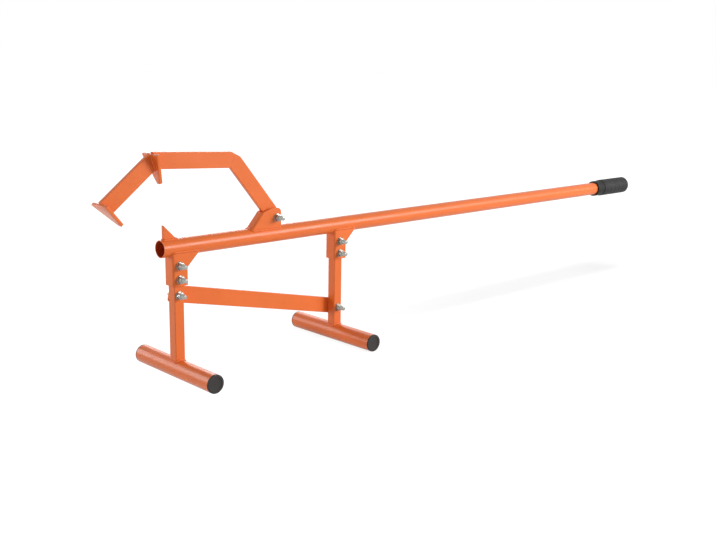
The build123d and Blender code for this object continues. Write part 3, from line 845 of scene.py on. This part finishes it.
class LEVER_OT_steelwork(Operator):
    """Powder coat, weld beads where the steel pieces join, and the teeth with their edges rounded"""

    bl_idname = "felling_lever.steelwork"
    bl_label = "Powder-coated steel"

    def execute(self, context):
        settings = context.scene.felling_lever
        weld = settings.weld
        coat = powder_coat(settings.coat, "orange_powder_coat")
        paint(slot_nodes("orange_powder_coat"), coat)
        # The lever tube's bore takes painted shade inside
        bore_shade_radius = TUBE_RADIUS - settings.coat.bore_shade_edge
        paint(["lever_tube"], powder_coat(settings.coat, "orange_powder_coat_thin_in_bore", bore_shade_radius))
        pivot_bead = bead_on_lever(weld, "pivot_bracket", weld.fold_pivot, False, True)
        spike_bead = bead_on_lever(weld, "front_spike", weld.turn, True, True)
        for name, body, beads in (
            ("leg_welds", "frame", self.leg_beads(weld)),
            ("pivot_bracket_weld", "frame", [pivot_bead]),
            ("spike_weld", "frame", [spike_bead]),
            ("hook_welds", "hook", self.hook_beads(weld)),
        ):
            make_piece(name, beads, coat, body)
        for node in TEETH:
            mesh = self.rounded_copy(node, weld.tooth_edge)
            add_piece(f"{node}_rounded", mesh, coat, "hook", [node])
        return {"FINISHED"}

    @staticmethod
    def leg_beads(weld):
        """A closed bead round each post on its foot, and a run round each bracket under the lever tube."""
        beads = []
        for leg in LEGS:
            low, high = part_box(f"{leg}_post")
            foot_low, foot_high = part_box(f"{leg}_foot")
            radius = (foot_high.z - foot_low.z) / 2
            plan = round_rectangle(low.x, high.x, high.y, weld.post_corner)
            middle = (low.x + high.x) / 2
            beads.append(bead_on_tube(weld, plan, True, "Y", middle, foot_low.z + radius, radius, True))
            beads.append(bead_on_lever(weld, f"{leg}_leg_bracket", weld.fold_leg, False, False))
        return beads

    @staticmethod
    def hook_beads(weld):
        """Beads at both faces of the corner tooth and at the tip tooth, and a dressed seam on each side of
        the rear corner."""
        ways = [slope_direction(slope) for _, slope in HOOK_BARS]
        runs = [run * MM * way for (run, _), way in zip(HOOK_BARS, ways)]
        rear_corner, front_corner, tip = PIVOT + np.cumsum(runs, axis=0)
        half = weld.bar_width / 2
        bend = unit(ways[1] + ways[2])
        inward = unit(ways[2] - ways[1])
        reach = half / (bend @ ways[1])
        beads = []
        for way in (-1, 1):
            middle = front_corner + way * weld.tooth_thick / 2 * bend
            beads.append(bead_on_plate(weld, middle, way * bend, inward, reach))
        lean = slope_direction(TIP_TOOTH_SLOPE)
        tip_inward = np.array([-lean[2], 0.0, lean[0]])
        beads.append(bead_on_plate(weld, tip, -lean, tip_inward, half / (lean @ ways[2])))
        inward = unit(ways[1] - ways[0])
        reach = half / (unit(ways[0] + ways[1]) @ ways[0])
        inner = rear_corner + inward * (reach - weld.bead)
        outer = rear_corner - inward * (weld.corner_flat - weld.bead)
        for side in (-1, 1):
            face = np.array([0.0, side, 0.0])
            ends = np.stack([inner, outer]) + face * weld.bar_thick / 2
            beads.append(weld_bead(even_path(ends, weld, False), face, weld, False, weld.seam_proud))
        return beads

    @staticmethod
    def rounded_copy(node, edge):
        """A copy of a solid's mesh, merged and with every edge rounded."""
        source = frame["nodes"][node].data
        corners = np.empty(len(source.vertices) * 3)
        source.vertices.foreach_get("co", corners)
        faces = [list(face.vertices) for face in source.polygons]
        return closed_mesh(f"{node}_rounded", corners.reshape(-1, 3), faces, SOLID_MERGE, edge)


class LEVER_OT_stage(Operator):
    """Pale floor, white surroundings, soft lamps and the fitted camera"""

    bl_idname = "felling_lever.stage"
    bl_label = "Stage"

    def execute(self, context):
        scene = context.scene
        stage = scene.felling_lever.stage
        scene.view_settings.view_transform = "Standard"
        scene.world = self.surroundings(stage)

        half = stage.floor_half
        mesh = bpy.data.meshes.new("studio_floor")
        corners = [(-half, -half, 0), (half, -half, 0), (half, half, 0), (-half, half, 0)]
        mesh.from_pydata(corners, [], [(0, 1, 2, 3)])
        mesh.materials.append(self.floor_paper(stage))
        floor = bpy.data.objects.new("studio_floor", mesh)
        scene.collection.objects.link(floor)
        floor_alone = bpy.data.collections.new("floor_alone")
        floor_alone.objects.link(floor)

        for name in LAMPS:
            light = bpy.data.lights.new(f"{name}_softbox", "AREA")
            light.shape = "SQUARE"
            light.size = stage.softbox
            light.energy = getattr(stage, f"{name}_power")
            lamp = bpy.data.objects.new(f"{name}_softbox", light)
            if name == "overhead":
                light.size = stage.overhead_softbox
                lamp.light_linking.receiver_collection = floor_alone
            lamp.location = getattr(stage, f"{name}_place")
            lamp.rotation_euler = (Vector(stage.aim) - lamp.location).to_track_quat("-Z", "Y").to_euler()
            scene.collection.objects.link(lamp)

        self.camera(scene, stage)
        return {"FINISHED"}

    @staticmethod
    def seen_directly(tree):
        """1 for what the camera, a reflection or clear material sees, and 0 for light on a surface."""
        path = add_node(tree, "LightPath").outputs
        seen = add_node(tree, "Math", {0: path["Is Camera Ray"], 1: path["Is Glossy Ray"]}, operation="ADD")
        clear = {0: seen, 1: path["Is Transmission Ray"]}
        return add_node(tree, "Math", clear, operation="ADD", use_clamp=True)

    def surroundings(self, stage):
        """White surroundings, which light the object at a lower level than they show, less from above."""
        world = bpy.data.worlds.new("studio_surroundings")
        world.use_nodes = True
        tree = world.node_tree
        tree.nodes.clear()
        way = add_node(tree, "TexCoord").outputs["Generated"]
        height = add_node(tree, "SeparateXYZ", {0: way}).outputs["Z"]
        levels = {"To Min": stage.surround_level, "To Max": stage.ceiling_level}
        light = add_node(tree, "MapRange", {"Value": height, **levels})
        seen = self.seen_directly(tree)
        level = add_node(tree, "Mix", {"Factor": seen, "A": light, "B": 1.0}, data_type="FLOAT")
        white = add_node(tree, "Background", {"Color": (1, 1, 1, 1), "Strength": level})
        add_node(tree, "OutputWorld", {"Surface": white})
        return world

    def floor_paper(self, stage):
        """White paper sweep. Seen directly it glows and shows a share of the light that falls on it, which
        leaves a soft shadow near the shadow's place and plain white farther off. Its bounce is what the lever
        gets back."""
        material, tree, spot = new_material("white_paper_sweep")
        away = add_node(tree, "VectorMath", {0: spot, 1: stage.shadow_place}, operation="DISTANCE")
        ramp = {"Value": away, "From Min": stage.shadow_reach, "From Max": stage.shadow_end}
        shares = {**ramp, "To Min": stage.shadow_share, "To Max": 0.0}
        shown = add_node(tree, "MapRange", shares, interpolation_type="SMOOTHSTEP")
        levels = {**ramp, "To Min": stage.floor_level, "To Max": stage.far_level}
        glow = add_node(tree, "MapRange", levels, interpolation_type="SMOOTHSTEP")
        seen = self.seen_directly(tree)
        white = add_node(tree, "Mix", {"Factor": seen, "A": stage.bounce, "B": shown}, data_type="FLOAT")
        level = add_node(tree, "Math", {0: seen, 1: glow}, operation="MULTIPLY")
        paper = add_node(tree, "BsdfDiffuse", {"Color": white})
        light = add_node(tree, "Emission", {"Color": (1, 1, 1, 1), "Strength": level})
        both = add_node(tree, "AddShader", {0: paper, 1: light})
        add_node(tree, "OutputMaterial", {"Surface": both})
        # The glow is only seen and lights nothing, so the renderer doesn't sample the floor as a lamp
        material.cycles.emission_sampling = "NONE"
        return material

    @staticmethod
    def camera(scene, stage):
        """Camera fitted to the photograph, placed from the floor under the lever tube's open end."""
        heading = Matrix.Rotation(stage.camera_azimuth, 4, "Z")
        rise = Matrix.Rotation(pi / 2 - stage.camera_elevation, 4, "X")
        roll = Matrix.Rotation(stage.camera_roll, 4, "Z")
        lens = bpy.data.cameras.new("photo_camera")
        lens.sensor_fit = "HORIZONTAL"
        lens.sensor_width = SENSOR_MM
        lens.lens = PHOTO_FOCAL / PHOTO_WIDTH * SENSOR_MM
        camera = bpy.data.objects.new("photo_camera", lens)
        spot = Vector((TUBE_LOW.x, 0, 0)) + Vector(stage.camera_place)
        camera.matrix_world = Matrix.Translation(spot) @ heading @ rise @ roll
        scene.collection.objects.link(camera)
        scene.camera = camera


class LEVER_PT_panel(Panel):
    """Sidebar list of the lever's steps"""

    bl_idname = "LEVER_PT_panel"
    bl_label = "Felling lever"
    bl_space_type = "VIEW_3D"
    bl_region_type = "UI"
    bl_category = "Lever"

    def draw(self, context):
        for step in OPERATORS:
            self.layout.operator(step.bl_idname)


GROUPS = (CoatSettings, HardwareSettings, GripSettings, PlugSettings, WeldSettings, StageSettings)
OPERATORS = (LEVER_OT_steelwork, LEVER_OT_hardware, LEVER_OT_grip, LEVER_OT_plugs, LEVER_OT_stage)
CLASSES = (*GROUPS, LeverSettings, *OPERATORS, LEVER_PT_panel)


def register():
    for cls in CLASSES:
        bpy.utils.register_class(cls)
    bpy.types.Scene.felling_lever = PointerProperty(type=LeverSettings)


def unregister():
    del bpy.types.Scene.felling_lever
    for cls in reversed(CLASSES):
        bpy.utils.unregister_class(cls)


def main():
    register()
    bpy.ops.felling_lever.steelwork()
    bpy.ops.felling_lever.hardware()
    bpy.ops.felling_lever.grip()
    bpy.ops.felling_lever.plugs()
    bpy.ops.felling_lever.stage()


if __name__ == "__main__":
    main()
